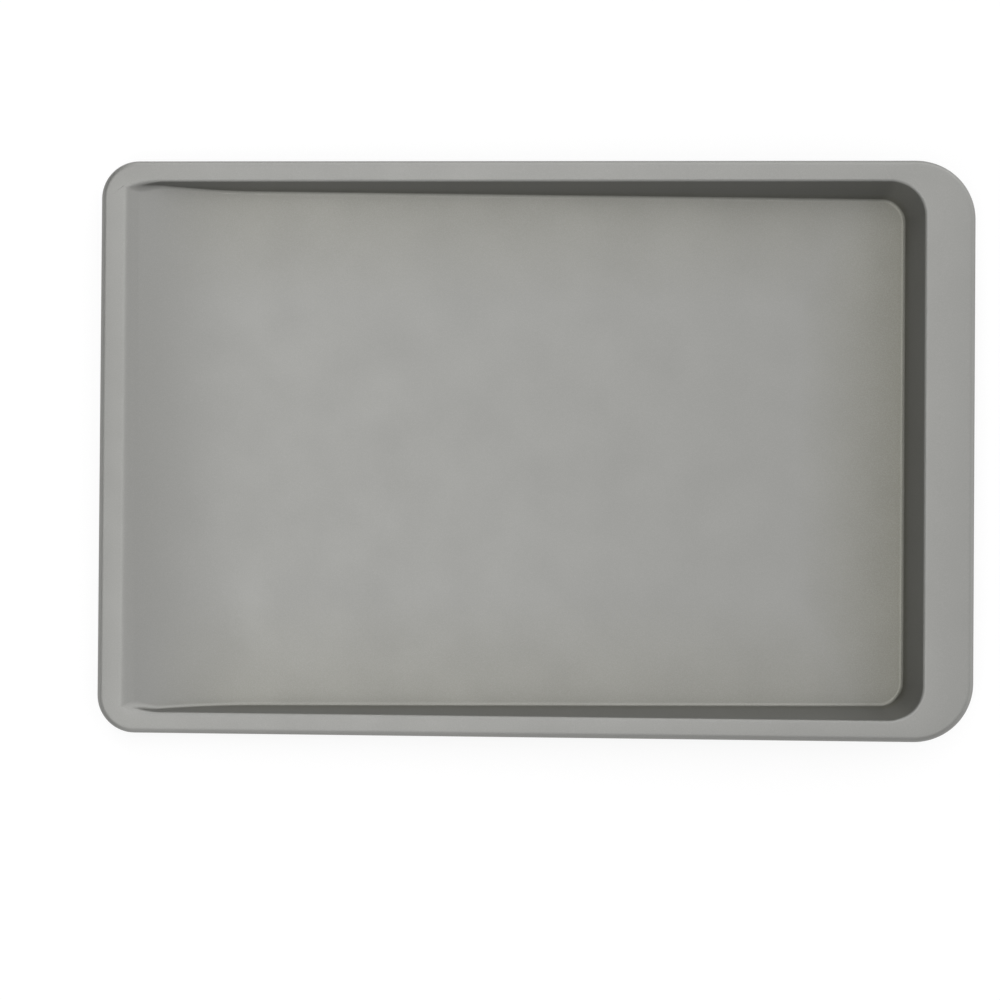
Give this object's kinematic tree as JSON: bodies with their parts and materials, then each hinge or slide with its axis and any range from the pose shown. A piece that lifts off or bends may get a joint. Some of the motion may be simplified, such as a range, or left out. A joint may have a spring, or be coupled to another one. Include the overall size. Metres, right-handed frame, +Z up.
{
  "type": "cookie sheet",
  "caption": "Shallow coated-steel baking sheet: flat floor ramping up to a low lip, drafted walls that grow towards the deep end, and a flat wire-stiffened rim that widens into a grip.",
  "frame": {"origin": "on the table, under the middle of the rim's length and width", "axes": "+X from the low lip to the deep end's grip, +Y across the pan, +Z up"},
  "size_m": [0.4156, 0.2742, 0.0261],
  "materials": {
    "coated_steel": "satin metallic grey non-stick coating, smooth with a fine fleck",
    "wire_steel": "drawn zinc-coated steel wire"
  },
  "bodies": {
    "root": {"pan_body": "coated_steel", "rim_wire": "wire_steel"}
  },
  "joints": []
}
